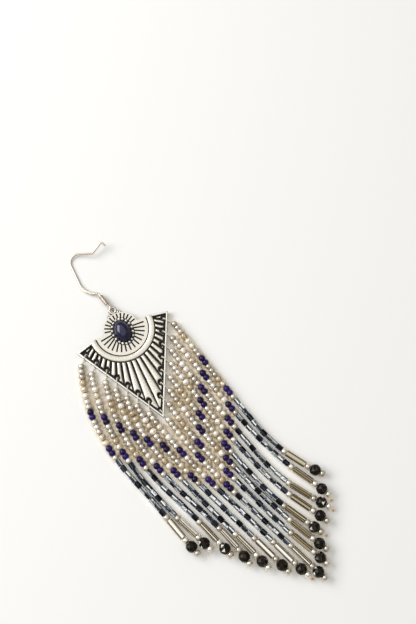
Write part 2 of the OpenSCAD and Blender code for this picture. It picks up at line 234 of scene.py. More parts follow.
class Value:
    """A socket in a material that Python's operators act on."""

    def __init__(self, tree, socket):
        self.tree, self.socket = tree, socket

    def math(self, operation, *others, flip=False):
        node = self.tree.nodes.new("ShaderNodeMath")
        node.operation = operation
        terms = (*others, self) if flip else (self, *others)
        for socket, term in zip(node.inputs, terms):
            if isinstance(term, Value):
                self.tree.links.new(term.socket, socket)
            else:
                socket.default_value = term
        return Value(self.tree, node.outputs[0])

    def __add__(self, other):
        return self.math("ADD", other)

    def __sub__(self, other):
        return self.math("SUBTRACT", other)

    def __rsub__(self, other):
        return self.math("SUBTRACT", other, flip=True)

    def __mul__(self, other):
        return self.math("MULTIPLY", other)

    __radd__, __rmul__ = __add__, __mul__

    def steps(self, start, end):
        """0 below start and 1 above end, smooth between."""
        node = self.tree.nodes.new("ShaderNodeMapRange")
        node.interpolation_type = "SMOOTHSTEP"
        self.tree.links.new(self.socket, node.inputs[0])
        node.inputs[1].default_value, node.inputs[2].default_value = start, end
        return Value(self.tree, node.outputs[0])


class Finish:
    """A material with one Principled surface."""

    def __init__(self, name, **plain):
        self.material = bpy.data.materials.new(name)
        self.material.use_nodes = True
        self.tree = self.material.node_tree
        self.surface = self.tree.nodes["Principled BSDF"]
        for key, value in plain.items():
            self.surface.inputs[key.replace("_", " ").title().replace("Ior", "IOR")].default_value = value

    def node(self, kind, settings=(), sockets=(), out=0):
        """A node of any kind: its settings first, then the values or links of its sockets."""
        node = self.tree.nodes.new("ShaderNode" + kind)
        for key, value in dict(settings).items():
            if key == "stops":
                ramp = node.color_ramp.elements
                while len(ramp) < len(value):
                    ramp.new(0.5)
                for element, (place, colour) in zip(ramp, value):
                    element.position, element.color = place, (*colour, 1)
            else:
                setattr(node, key, value)
        for key, value in dict(sockets).items():
            if isinstance(value, Value):
                self.tree.links.new(value.socket, node.inputs[key])
            else:
                node.inputs[key].default_value = value
        return Value(self.tree, node.outputs[out])

    def feed(self, socket, value):
        self.tree.links.new(value.socket, self.surface.inputs[socket])

    def place(self):
        """Object coordinates in millimetres."""
        co = self.node("TexCoord", out=3)
        return self.node("VectorMath", {"operation": "SCALE"}, {0: co, "Scale": 1 / MM})

    def height(self, place):
        return self.node("SeparateXYZ", {}, {0: place}, out=2)

    def stored(self, name):
        """A number that the mesh carries."""
        return self.node("Attribute", {"attribute_name": name}, out=2)

    def noise(self, scale, detail=2.0, where=None, rough=0.5):
        sockets = {"Vector": where or self.place(), "Scale": scale, "Detail": detail, "Roughness": rough}
        return self.node("TexNoise", {}, sockets)

    def ramp(self, value, stops):
        return self.node("ValToRGB", {"stops": stops}, {"Fac": value})

    def blend(self, factor, first, second, how="MIX"):
        """Two colours mixed."""
        node = self.tree.nodes.new("ShaderNodeMix")
        node.data_type, node.blend_type = "RGBA", how
        for index, value in ((0, factor), (6, first), (7, second)):
            if isinstance(value, Value):
                self.tree.links.new(value.socket, node.inputs[index])
            else:
                node.inputs[index].default_value = value if index == 0 else (*value, 1)
        return Value(self.tree, node.outputs[2])

    def bump(self, height):
        self.feed("Normal", self.node("Bump", {}, {"Height": height, "Distance": BUMP_DEPTH * MM, "Strength": 1.0}))


# The casting turns bright between the first two heights, where its patina ends, and its outer wall turns dark between
# the next two; below them the wall keeps a dim grey as painted shade.
# A face starts to be bright where its normal's Z is over the fifth number, and is fully bright over the sixth: sloped
# and steep faces are darkened as painted shade.
BRIGHT_Z, DARK_WALL_Z, SLOPE_SHADE_Z = (1.36, 1.62), (0.78, 0.98), (0.7, 0.99)
PATINA = (0.009, 0.007, 0.005)


def cast_silver(name, worn, plain, rubbed):
    """Antique silver plate: bright on the raised parts and near black with patina in the recesses, with painted shade
    that darkens sloped and steep faces and dims the outer wall's foot.
    """
    f = Finish(name)
    where = f.place()
    wear = f.noise(1.6, 4, where)
    fine = f.noise(4, 3, where)
    level = f.height(where) + (wear - 0.5) * 0.2
    raised = level.steps(*BRIGHT_Z)
    # Painted shade: the outer wall's foot is given only a dim grey
    wall = 1 - level.steps(*DARK_WALL_Z)
    # Painted shade: faces are darkened the further they slope away from straight up
    painted_slope_shade = f.stored("upward").steps(*SLOPE_SHADE_Z) * 0.85 + 0.15
    bright = (raised * painted_slope_shade).math("MAXIMUM", wall * 0.35)
    tone = f.ramp(fine, [(0.3, worn), (0.5, plain), (0.75, rubbed)])
    f.feed("Base Color", f.blend(bright, PATINA, tone))
    f.feed("Metallic", bright * 0.5 + 0.2)
    f.feed("Roughness", 0.62 - bright * 0.34 + (fine - 0.5) * 0.06)
    f.bump(f.noise(5, 4, where))
    return f.material


def wire_silver():
    """Drawn wire, a little tarnished, with faint marks."""
    f = Finish("hook_silver_wire", metallic=1.0)
    where = f.place()
    fine = f.noise(7, 3, where)
    f.feed("Base Color", f.ramp(fine, [(0.3, (0.52, 0.45, 0.38)), (0.7, (0.76, 0.70, 0.62))]))
    f.feed("Roughness", 0.18 + fine * 0.16)
    f.bump(f.noise(2.2, 2, where))
    return f.material


def polished_silver():
    """Silver rubbed bright on the granules."""
    f = Finish("polished_silver_grains", metallic=0.35)
    fine = f.noise(5, 2)
    f.feed("Base Color", f.ramp(fine, [(0.3, (0.90, 0.88, 0.82)), (0.7, (1.0, 0.98, 0.94))]))
    f.feed("Roughness", 0.22 + fine * 0.14)
    return f.material


def lapis():
    """Polished deep blue stone with darker and lighter clouds."""
    f = Finish("lapis_stone", roughness=0.17, specular_ior_level=0.6)
    where = f.place()
    cloud = f.noise(0.9, 5, where, 0.62)
    fleck = f.noise(6.5, 3, where, 0.7)
    deep = f.ramp(cloud, [
        (0.32, (0.002, 0.002, 0.016)), (0.52, (0.007, 0.007, 0.045)), (0.72, (0.024, 0.024, 0.115))])
    f.feed("Base Color", f.blend(fleck.steps(0.66, 0.78) * 0.3, deep, (0.10, 0.10, 0.24)))
    return f.material


def bead_glass(name, stops, rough, spread, metal=0.0, grain=3.0, cloud=0.25, facet=0.0, dark=None,
               underside_shade=None, low=0.7, high=1.75, **plain):
    """Bead glass. Each bead has its own shade along the stops, and each facet too, with a mottle of cloud.

    The colour of beads marked as dim is multiplied by dark. With an underside shade colour, the glass turns to that
    colour towards its underside, between the heights high and low: painted shade.
    """
    f = Finish(name, metallic=metal, **plain)
    shade = f.stored("shade")
    if facet:
        shade = (f.stored("facet") + shade * facet).math("FRACT")
    where = f.place()
    mottle = f.noise(grain, 2, where)
    colour = f.ramp(shade + (mottle - 0.5) * cloud, stops)
    if dark:
        colour = f.blend(f.stored("dim"), colour, f.blend(1.0, colour, dark, "MULTIPLY"))
    # Painted shade: the glass darkens towards its underside
    if underside_shade:
        colour = f.blend(f.height(where).steps(low, high), underside_shade, colour)
    f.feed("Base Color", colour)
    f.feed("Roughness", rough + (mottle - 0.5) * spread)
    return f.material


def thread_fibre(name, dark, light):
    """Nylon thread with a fine twist."""
    f = Finish(name, roughness=0.7)
    bands = {"wave_type": "BANDS", "bands_direction": "DIAGONAL"}
    twist = f.node("TexWave", bands, {"Vector": f.place(), "Scale": 2.4, "Distortion": 0.6})
    f.feed("Base Color", f.blend(twist, dark, light))
    f.bump(twist)
    return f.material


CAST = cast_silver("antique_silver_cast", (0.68, 0.64, 0.56), (0.80, 0.77, 0.69), (0.90, 0.88, 0.82))
RIM_CAST = cast_silver("antique_silver_rims", (0.84, 0.80, 0.72), (0.94, 0.92, 0.85), (1.0, 0.98, 0.93))
GRAIN_METAL, WIRE_METAL, STONE_BLUE = polished_silver(), wire_silver(), lapis()
THREAD = thread_fibre("beading_thread", (0.34, 0.24, 0.12), (0.62, 0.50, 0.34))
LOOP_THREAD = thread_fibre("beading_thread_pale", (0.72, 0.66, 0.54), (0.90, 0.86, 0.77))
# The silver and clear seed glass darken towards their underside, as painted shade
SILVER_SEED = bead_glass(
    "silver_seed_glass",
    [(0.0, (0.50, 0.46, 0.39)), (0.3, (0.66, 0.62, 0.55)), (0.7, (0.80, 0.77, 0.70)), (1.0, (0.94, 0.92, 0.87))],
    0.16, 0.08, metal=0.7, underside_shade=(0.26, 0.17, 0.08), low=0.9, high=1.85)
CLEAR_SEED = bead_glass(
    "clear_seed_glass",
    [(0.0, (0.44, 0.35, 0.22)), (0.25, (0.57, 0.48, 0.34)), (0.5, (0.71, 0.63, 0.49)),
     (0.75, (0.86, 0.80, 0.69)), (0.95, (1.0, 0.98, 0.94))],
    0.12, 0.05, metal=0.35, grain=1.3, cloud=2.4, underside_shade=(0.46, 0.33, 0.17), low=0.8, high=2.0,
    coat_weight=0.4, coat_roughness=0.04)
COBALT_SEED = bead_glass(
    "cobalt_seed_glass", [(0.0, (0.006, 0.001, 0.036)), (0.5, (0.012, 0.003, 0.08)), (1.0, (0.02, 0.006, 0.13))],
    0.12, 0.04, specular_ior_level=0.28)
# The top stops are near white: on the tubes' sides they paint glints along the edges
CUT_TUBE = bead_glass(
    "gunmetal_tube_glass",
    [(0.0, (0.006, 0.008, 0.014)), (0.22, (0.02, 0.026, 0.042)), (0.4, (0.06, 0.085, 0.125)),
     (0.6, (0.17, 0.225, 0.29)), (0.72, (0.42, 0.50, 0.57)), (0.8, (0.90, 0.92, 0.92)), (0.92, (1.0, 1.0, 0.99))],
    0.2, 0.08, metal=0.65, grain=1.8, cloud=0.9, facet=0.1, dark=(0.05, 0.06, 0.09), specular_ior_level=0.25)
# The bugle glass darkens towards its underside, as painted shade
BUGLE_GLASS = bead_glass(
    "champagne_bugle_glass",
    [(0.0, (0.045, 0.034, 0.016)), (0.17, (0.09, 0.07, 0.036)), (0.3, (0.40, 0.33, 0.21)),
     (0.55, (0.66, 0.58, 0.44)), (0.74, (0.94, 0.91, 0.83)), (0.92, (1.0, 0.99, 0.96))],
    0.2, 0.08, metal=0.65, cloud=0.03, facet=0.16, dark=(0.56, 0.51, 0.40),
    underside_shade=(0.16, 0.11, 0.05), low=0.6, high=1.5)
# A facet whose value is near 1 turns near white: a painted glint
BLACK_FACETED = bead_glass(
    "black_faceted_glass",
    [(0.0, (0.005, 0.004, 0.003)), (0.5, (0.009, 0.007, 0.005)), (0.75, (0.013, 0.009, 0.006)),
     (0.95, (0.036, 0.026, 0.016)), (0.978, (0.05, 0.04, 0.03)), (0.984, (0.85, 0.84, 0.81))],
    0.1, 0.04, cloud=0.03, facet=1.0, specular_ior_level=0.15)
AMBER = Finish("amber_glue", roughness=0.2, base_color=(0.80, 0.40, 0.05, 1)).material


# Geometry node trees: beads set on points, thread drawn along lines, and a wound wire

def tree_with(name, inputs):
    """A geometry node group with named inputs, the sockets that its inputs come from, and those it ends in."""
    tree = bpy.data.node_groups.new(name, "GeometryNodeTree")
    tree.interface.new_socket("Geometry", in_out="INPUT", socket_type="NodeSocketGeometry")
    tree.interface.new_socket("Geometry", in_out="OUTPUT", socket_type="NodeSocketGeometry")
    for label, kind in inputs:
        tree.interface.new_socket(label, in_out="INPUT", socket_type="NodeSocket" + kind)
    return tree, tree.nodes.new("NodeGroupInput").outputs, tree.nodes.new("NodeGroupOutput").inputs


def add(tree, kind, links=(), values=(), **settings):
    """Adds a node with its settings, its sockets' values and the links into it, and gives its outputs."""
    node = tree.nodes.new(kind)
    for key, value in settings.items():
        setattr(node, key, value)
    for key, value in dict(values).items():
        node.inputs[key].default_value = value
    for key, socket in dict(links).items():
        tree.links.new(socket, node.inputs[key])
    return node.outputs


def coated(tree, given, out, shape):
    """Ends a tree: the shape is made real and gets the given material."""
    real = add(tree, "GeometryNodeRealizeInstances", {0: shape})
    coat = add(tree, "GeometryNodeSetMaterial", {"Geometry": real[0], "Material": given["Material"]})
    tree.links.new(coat[0], out[0])
    return tree


def set_beads_tree():
    """Sets a bead at each point, turned as the point says, with a little play in turn, size and shade."""
    tree, given, out = tree_with("set_beads", [
        ("Bead", "Object"), ("Tilt", "Vector"), ("Size Least", "Vector"), ("Size Most", "Vector"),
        ("Seed", "Int"), ("Material", "Material")])
    turn = add(tree, "GeometryNodeInputNamedAttribute", values={"Name": "turn"}, data_type="FLOAT_VECTOR")
    lie = add(tree, "FunctionNodeEulerToRotation", {0: turn[0]})
    back = add(tree, "ShaderNodeVectorMath", {0: given["Tilt"]}, {1: (-1, -1, -1)}, operation="MULTIPLY")
    play = add(
        tree, "FunctionNodeRandomValue", {"Min": back[0], "Max": given["Tilt"], "Seed": given["Seed"]},
        data_type="FLOAT_VECTOR")
    nudge = add(tree, "FunctionNodeEulerToRotation", {0: play[0]})
    turned_lie = add(tree, "FunctionNodeRotateRotation", {0: lie[0], 1: nudge[0]}, rotation_space="LOCAL")
    next_seed = add(tree, "ShaderNodeMath", {0: given["Seed"]}, {1: 7}, operation="ADD")
    size = add(
        tree, "FunctionNodeRandomValue",
        {"Min": given["Size Least"], "Max": given["Size Most"], "Seed": next_seed[0]}, data_type="FLOAT_VECTOR")
    third_seed = add(tree, "ShaderNodeMath", {0: given["Seed"]}, {1: 13}, operation="ADD")
    shade = add(tree, "FunctionNodeRandomValue", {"Seed": third_seed[0]}, data_type="FLOAT")
    store = add(
        tree, "GeometryNodeStoreNamedAttribute", {"Geometry": given["Geometry"], "Value": shade[1]},
        {"Name": "shade"}, data_type="FLOAT", domain="POINT")
    bead = add(tree, "GeometryNodeObjectInfo", {"Object": given["Bead"]})
    beads = add(tree, "GeometryNodeInstanceOnPoints", {
        "Points": store[0], "Instance": bead["Geometry"], "Rotation": turned_lie[0], "Scale": size[0]})
    return coated(tree, given, out, beads[0])


def draw_thread_tree():
    """Draws a round thread along every line."""
    tree, given, out = tree_with("draw_thread", [("Radius", "Float"), ("Sides", "Int"), ("Material", "Material")])
    line = add(tree, "GeometryNodeMeshToCurve", {"Mesh": given["Geometry"]})
    ring = add(
        tree, "GeometryNodeCurvePrimitiveCircle", {"Radius": given["Radius"], "Resolution": given["Sides"]},
        mode="RADIUS")
    tube = add(tree, "GeometryNodeCurveToMesh", {"Curve": line[0], "Profile Curve": ring[0]}, {"Fill Caps": True})
    return coated(tree, given, out, tube[0])


def coil_tree():
    """Winds a wire about Z."""
    tree, given, out = tree_with("wind_coil", [
        ("Radius", "Float"), ("Height", "Float"), ("Turns", "Float"), ("Wire Radius", "Float"),
        ("Steps", "Int"), ("Sides", "Int"), ("Material", "Material")])
    wind = add(tree, "GeometryNodeCurveSpiral", {
        "Rotations": given["Turns"], "Start Radius": given["Radius"], "End Radius": given["Radius"],
        "Height": given["Height"], "Resolution": given["Steps"]})
    ring = add(
        tree, "GeometryNodeCurvePrimitiveCircle", {"Radius": given["Wire Radius"], "Resolution": given["Sides"]},
        mode="RADIUS")
    tube = add(tree, "GeometryNodeCurveToMesh", {"Curve": wind[0], "Profile Curve": ring[0]}, {"Fill Caps": True})
    return coated(tree, given, out, tube[0])


def grown(name, base, tree, inputs):
    """Runs a node tree on an object, and gives the result as a plain mesh object."""
    modifier = base.modifiers.new("grow", "NODES")
    modifier.node_group = tree
    sockets = {s.name: s.identifier for s in tree.interface.items_tree if s.in_out == "INPUT"}
    for label, value in inputs.items():
        modifier[sockets[label]] = value
    bpy.context.view_layer.update()
    graph = bpy.context.evaluated_depsgraph_get()
    made = base.evaluated_get(graph)
    mesh = bpy.data.meshes.new_from_object(made, preserve_all_data_layers=True, depsgraph=graph)
    piece = bpy.data.objects.new(name, mesh)
    mesh.name = name
    bpy.context.scene.collection.objects.link(piece)
    bpy.data.objects.remove(base)
    return piece


SET_BEADS, DRAW_THREAD, WIND_COIL = set_beads_tree(), draw_thread_tree(), coil_tree()


def set_out(name, places, turns, bead, tilt, size, seed, material, dim=()):
    """A bead at each place, in one mesh. The beads marked in dim are darker."""
    mesh = bpy.data.meshes.new(name + "_places")
    mesh.from_pydata([tuple(np.asarray(p) * MM) for p in places], [], [])
    turn = mesh.attributes.new("turn", "FLOAT_VECTOR", "POINT")
    turn.data.foreach_set("vector", np.array(turns, np.float32).ravel())
    darker = mesh.attributes.new("dim", "FLOAT", "POINT")
    darker.data.foreach_set("value", dim or [0] * len(places))
    base = bpy.data.objects.new(name + "_places", mesh)
    bpy.context.scene.collection.objects.link(base)
    piece = grown(name, base, SET_BEADS, {
        "Bead": bead, "Tilt": [math.radians(t) for t in tilt], "Size Least": [1 - s for s in size],
        "Size Most": [1 + s for s in size], "Seed": seed, "Material": material})
    bpy.data.objects.remove(bead)
    return piece


def is_dim(kind, i, k):
    """Every third or fifth tube is dark, never two neighbours, and so are the bugles of the right-hand strings."""
    return i > MIDDLE if kind == "G" else (7 * k + 3 * i * i + 5 * i) % 11 < 3


def strung(name, kind, bead, tilt, size, seed, material):
    """All beads of one kind, on all the strings."""
    places, turns, dim = [], [], []
    for i, (centres, heads, rises, _) in enumerate(RUNS):
        for k, letter in enumerate(ORDER):
            if letter == kind:
                places.append(centres[k])
                turns.append((0, math.radians(90 - rises[k]), math.radians(heads[k])))
                dim.append(float(is_dim(kind, i, k)))
    return set_out(name, places, turns, bead, tilt, size, seed, material, dim)


def drawn(name, lines, radius, sides, material):
    """Thread along a list of lines, in one mesh."""
    points, edges = [], []
    for line in lines:
        edges += [(len(points) + j, len(points) + j + 1) for j in range(len(line) - 1)]
        points += [tuple(p * MM) for p in line]
    mesh = bpy.data.meshes.new(name + "_lines")
    mesh.from_pydata(points, edges, [])
    base = bpy.data.objects.new(name + "_lines", mesh)
    bpy.context.scene.collection.objects.link(base)
    return grown(name, base, DRAW_THREAD, {"Radius": radius * MM, "Sides": sides, "Material": material})


# Beads, standing on Z

# The holes' radii, how many rows of points a seed bead's curve has, and how far its hole's rim is sunk
SEED_HOLE, TUBE_HOLE, SEED_ROWS, SUNK = 0.42, 0.4, 5, 0.95


def round_profile(r, half):
    """A ball cut flat at both ends, with a hole."""
    cut = math.asin(half / r)
    arc = [(r * math.cos(a), r * math.sin(a)) for a in np.linspace(-cut, cut, SEED_ROWS)]
    return [(SEED_HOLE, -SUNK * half), *arc, (SEED_HOLE, SUNK * half)]


def tube_profile(r, half, edge):
    """A tube with a hole, and with its ends' edges taken off."""
    return [
        (TUBE_HOLE, -half), (r - edge, -half), (r, edge - half), (r, half - edge), (r - edge, half), (TUBE_HOLE, half)]


def mark_facets(piece, pattern):
    """Gives each side of a turned bead its own value, for its shade; on the cut tubes and faceted beads the highest
    values paint glints.
    """
    mesh = piece.data
    values = [pattern[k % len(pattern)] for k in range(len(mesh.polygons))]
    mesh.attributes.new("facet", "FLOAT", "FACE").data.foreach_set("value", values)


seed_bead = turned("seed_bead", round_profile(1.05, 0.75), 10)
clear_bead = turned("clear_bead", round_profile(1.15, 0.97), 10)
blue_bead = turned("blue_bead", round_profile(1.08, 0.765), 10)
tube_bead = turned("tube_bead", tube_profile(0.83, 1.0, 0.08), 12, smooth=False, spread=0.62)
# The narrow sides' high values are painted edge highlights; the rest is the tubes' mixed tone
mark_facets(tube_bead, [0.36, 0.89, 0.60, 0.05, 0.14, 0.70, 0.48, 0.89, 0.30, 0.02, 0.70, 0.86])
bugle_bead = turned("bugle_bead", tube_profile(0.97, 3.31, 0.1), 20)
mark_facets(bugle_bead, [
    0.55, 0.80, 0.83, 0.78, 0.05, 0.30, 0.02, 0.60, 0.05, 0.40,
    0.80, 0.03, 0.50, 0.04, 0.78, 0.83, 0.60, 0.04, 0.30, 0.02])
smooth_by_angle(bugle_bead, 40)
faceted_bead = turned(
    "faceted_bead",
    [(0.4, -1.51), (0.95, -1.51), (1.56, -0.85), (1.78, 0.0), (1.56, 0.85), (0.95, 1.51), (0.4, 1.51)], 8,
    smooth=False, offsets=[0, 0, 0.5, 0, 0.5, 0, 0])
bm = bmesh.new()
bm.from_mesh(faceted_bead.data)
bmesh.ops.triangulate(bm, faces=bm.faces)
bm.to_mesh(faceted_bead.data)
bm.free()
mark_facets(faceted_bead, [0.1, 0.6, 0.35, 0.85, 0.2, 0.7, 0.5, 0.05, 0.9, 0.4, 0.75, 0.15, 0.55])

# Each kind's name, letter and bead, its play in turn and in size, its seed, glass and slot, and the nodes it is for
KINDS = [
    ("silver_seed_beads", "S", seed_bead, (5, 5, 180), (0.03, 0.03, 0.04), 3,
     SILVER_SEED, "silver_seed_beads", "strand"),
    ("clear_seed_beads", "C", clear_bead, (4, 4, 180), (0.03, 0.03, 0.03), 11,
     CLEAR_SEED, "crystal_seed_beads", None),
    ("cobalt_seed_beads", "B", blue_bead, (4, 4, 180), (0.02, 0.02, 0.03), 17,
     COBALT_SEED, "cobalt_seed_beads", None),
    ("cut_tube_beads", "T", tube_bead, (2, 2, 180), (0.02, 0.02, 0.02), 23,
     CUT_TUBE, "gunmetal_cut_beads", None),
    ("bugle_tubes", "G", bugle_bead, (0.4, 0.4, 180), (0.01, 0.01, 0.003), 29,
     BUGLE_GLASS, "bugle_beads", "bugle"),
    ("black_faceted_beads", "F", faceted_bead, (2, 2, 180), (0.01, 0.01, 0.01), 31,
     BLACK_FACETED, "black_faceted_beads", "faceted"),
]
for name, kind, bead, tilt, size, seed, glass, slot, node in KINDS:
    beads = strung(name, kind, bead, tilt, size, seed, glass)
    finished(beads, glass, slot, *[f"{node}_{n:02d}" for n in range(1, STRINGS + 1) if node])

threads = drawn("bead_threads", [run[0] for run in RUNS], 0.2, 8, THREAD)
finished(threads, THREAD, "thread")
loops = drawn("eyelet_thread_loops", [run[3] for run in RUNS], 0.15, 8, LOOP_THREAD)
finished(loops, LOOP_THREAD, "thread")

# Each drop's string, and how far it lies ahead of and beside the string's last bead
GLUE_AT = ((13, 1.85, -0.7), (12, 1.8, -0.34), (10, 2.0, 0.06), (6, 1.85, -0.08))
GLUE_R, GLUE_FLATNESS, GLUE_Z, GLUE_HALF_H, GLUE_ROWS, GLUE_AROUND = 0.42, 0.8, 0.42, 0.36, 6, 10


def glue_drops():
    """A drop of amber glue on the thread's end, past the last bead of a few strings."""
    points, faces = [], []
    for i, ahead, aside in GLUE_AT:
        centres, heads = RUNS[i][:2]
        along, across = direction(heads[STOP]), direction(heads[STOP] + 90)
        q = centres[STOP][:2] + ahead * along + aside * across
        rings = []
        for a in np.linspace(-80, 80, GLUE_ROWS):
            r, z = GLUE_R * math.cos(math.radians(a)), GLUE_Z + GLUE_HALF_H * math.sin(math.radians(a))
            rings.append([
                (q[0] + r * math.cos(b), q[1] + GLUE_FLATNESS * r * math.sin(b), z)
                for b in np.linspace(0, 2 * math.pi, GLUE_AROUND, endpoint=False)])
        ring_points, ring_faces = skin(rings)
        faces += [tuple(n + len(points) for n in face) for face in ring_faces]
        points += ring_points
    return mesh_object("thread_end_glue", points, faces)


finished(glue_drops(), AMBER, "thread")


# The stone and the grains round it

STONE_ROWS, STONE_AROUND, DOME_END = 14, 56, 88.5
GRAIN_R, GRAIN_ROWS, GRAIN_AROUND = 0.45, 8, 14


def oval(half_x, half_y, z, count):
    """Points on an oval round the stone's middle."""
    return [
        (STONE_AT[0] + half_x * math.cos(a) + MOVE[0], STONE_AT[1] + half_y * math.sin(a) + MOVE[1], z)
        for a in np.linspace(0, 2 * math.pi, count, endpoint=False)]


def domed_stone():
    """The cabochon: an upright girdle, and a dome that ends in a tiny flat."""
    dome = [
        (math.cos(t), GIRDLE_H + (STONE_H - GIRDLE_H) * math.sin(t))
        for t in np.linspace(0, math.radians(DOME_END), STONE_ROWS)[1:]]
    rings = [
        oval(STONE_A * r, STONE_B * r, STONE_Z + z, STONE_AROUND) for r, z in [(1.0, 0.0), (1.0, GIRDLE_H), *dome]]
    return mesh_object("lapis_cabochon", *skin(rings))


stone = domed_stone()
smooth_by_angle(stone, 60)
finished(stone, STONE_BLUE, "lapis", "stone")


def granules():
    """The bright grains round the stone, a little larger than in the part."""
    arc = np.linspace(-math.pi / 2, math.pi / 2, GRAIN_ROWS)
    bead = turned("granule", [(GRAIN_R * math.cos(a), GRAIN_R * math.sin(a)) for a in arc], GRAIN_AROUND)
    reach = GRANULE_R + GRANULE_GAP
    places = oval(STONE_A + STONE_PLAY + reach, STONE_B + STONE_PLAY + reach, GRANULE_Z, GRANULES)
    return set_out(
        "granule_ring", places, [(0, 0, 0)] * GRANULES, bead, (10, 10, 180), (0.01, 0.01, 0.01), 41, GRAIN_METAL)


# The plaque: the casting itself, with crowned bars and rounded rims laid over its flat ones

# A face whose normal's Z is over this counts as level
LEVEL = 0.9995


def merged_copy(node, name, angle):
    """A copy of a node with its loose triangles joined, smooth except at sharp edges and on its level faces."""
    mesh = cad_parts[node].data.copy()
    mesh.name = name
    bm = bmesh.new()
    bm.from_mesh(mesh)
    bmesh.ops.remove_doubles(bm, verts=bm.verts, dist=1e-6)
    bmesh.ops.dissolve_degenerate(bm, dist=2e-6, edges=bm.edges)
    bm.to_mesh(mesh)
    bm.free()
    piece = bpy.data.objects.new(name, mesh)
    bpy.context.scene.collection.objects.link(piece)
    smooth_by_angle(piece, angle)
    mesh.polygons.foreach_set("use_smooth", [abs(p.normal.z) < LEVEL for p in mesh.polygons])
    return piece


casting = merged_copy("plaque", "plaque_casting", 32)
mark_upward(casting)
finished(casting, CAST, "antique_silver", "plaque")

BAR_LAP, BAR_LOW, BAR_TOP, BAR_CROWN, BAR_ROWS = 0.02, 1.25, 1.8, 0.3, 14
# A bar's crown falls away over the first length at its ends, and is lower where the bar is narrower than the second
BAR_END, BAR_FULL_W = 0.45, 1.4
# Places across a bar, from edge to edge, and the crown's share there
BAR_SHAPE = [
    (-1.0, -0.10), (-0.86, 0.35), (-0.6, 0.72), (-0.3, 0.94), (0.0, 1.0),
    (0.3, 0.94), (0.6, 0.72), (0.86, 0.35), (1.0, -0.10)]


def ray_to_circle(p, d, radius):
    """How far a line runs from p, inside a circle about the boss, to the circle."""
    q = p - [0, BOSS_Y]
    b = q @ d
    return -b + math.sqrt(b * b - q @ q + radius * radius)


def ray_to_outline(p, d, corners):
    """How far a line runs from p to the five-sided outline."""
    found = []
    for i in range(5):
        a, b = corners[i], corners[(i + 1) % 5]
        edge = b - a
        cross = d[0] * edge[1] - d[1] * edge[0]
        if abs(cross) > 1e-9:
            t = ((a[0] - p[0]) * edge[1] - (a[1] - p[1]) * edge[0]) / cross
            s = ((a[0] - p[0]) * d[1] - (a[1] - p[1]) * d[0]) / cross
            if t > 0 and -1e-6 <= s <= 1 + 1e-6:
                found.append(t)
    return min(found)


def bar_reach(p, d, corners):
    """How far a line along a bar runs from p, to the channel by the rim or to an eyelet's recess."""
    found = [ray_to_outline(p, d, corners)]
    for i in range(STRINGS):
        q = p - eyelet(i)
        b = q @ d
        c = b * b - q @ q + (EYELET_RECESS_R - BAR_LAP) ** 2
        if c > 0 and -b - math.sqrt(c) > 0:
            found.append(-b - math.sqrt(c))
    return min(found)


def slot_width(k):
    """The slots are widest at the fan's two ends."""
    return SLOT_W - SLOT_NARROWING * (1 - abs(2 * k / (FAN_SLOTS - 1) - 1))


def bar_columns(slot, next_slot, half, next_half, corners):
    """Lines along a bar between two slots: each one's start, heading, reach at both ends, and share of the crown."""
    (p0, d0), (p1, d1) = slot, next_slot
    p0 = p0 + (half - BAR_LAP) * np.array([-d0[1], d0[0]])
    p1 = p1 - (next_half - BAR_LAP) * np.array([-d1[1], d1[0]])
    columns = []
    for v, share in BAR_SHAPE:
        w = (1 + v) / 2
        p, d = (1 - w) * p0 + w * p1, unit((1 - w) * d0 + w * d1)
        start = ray_to_circle(p, d, BAND_OUTER_R + FAN_GAP - BAR_LAP)
        columns.append((p, d, start, bar_reach(p, d, corners), share))
    return columns


def fan_bars():
    """A crowned bar between each two slots, from beside the half ring to the rim."""
    corners = inset_outline(FAN_INSET - BAR_LAP)
    points, faces = [], []
    slots = []
    for k in range(FAN_SLOTS):
        heading = -90 - SLOT_SPAN / 2 + k * SLOT_SPAN / (FAN_SLOTS - 1)
        p = np.array([0, BOSS_Y]) + BAND_OUTER_R * direction(heading)
        slots.append((p, unit(p - [0, FAN_FOCUS_Y])))
    for k in range(FAN_SLOTS - 1):
        columns = bar_columns(slots[k], slots[k + 1], slot_width(k) / 2, slot_width(k + 1) / 2, corners)
        rings = []
        for j in range(BAR_ROWS + 1):
            u = 0.5 - 0.5 * math.cos(math.pi * j / BAR_ROWS)
            places = [p + d * (t0 + u * (t1 - t0)) for p, d, t0, t1, _ in columns]
            width = np.linalg.norm(places[-1] - places[0])
            ring = []
            for q, (_, _, t0, t1, share) in zip(places, columns):
                end = min(1.0, min(u, 1 - u) * (t1 - t0) / BAR_END)
                rise = BAR_CROWN * math.sqrt(max(0.0, 1 - (1 - end) ** 2)) * min(1.0, width / BAR_FULL_W)
                ring.append((q[0] + MOVE[0], q[1] + MOVE[1], BAR_TOP + share * rise))
            rings.append(ring + [(x, y, BAR_LOW) for x, y, _ in reversed(ring)])
        ring_points, ring_faces = skin(rings, caps=False)
        # Each end is a strip of upright faces, which follows the recess round an eyelet
        for first in (0, BAR_ROWS * 2 * len(BAR_SHAPE)):
            last = first + 2 * len(BAR_SHAPE) - 1
            ring_faces += [(first + j, first + j + 1, last - j - 1, last - j) for j in range(len(BAR_SHAPE) - 1)]
        faces += [tuple(i + len(points) for i in face) for face in ring_faces]
        points += ring_points
    return mesh_object("fan_bars", points, faces)


bars = fan_bars()
smooth_by_angle(bars, 50)
mark_upward(bars)
finished(bars, CAST, "antique_silver")

# The rim's section: how far in from the outline, and how high
RIM_SHAPE = [
    (-0.012, 0.52), (-0.012, 1.78), (0.035, 1.9), (0.11, 1.965), (0.25, 1.985), (0.39, 1.965), (0.465, 1.9),
    (0.512, 1.78), (0.512, 1.25)]
# The share of each top edge, beside the shoulder, that has no rim
RIM_BARE = 0.27


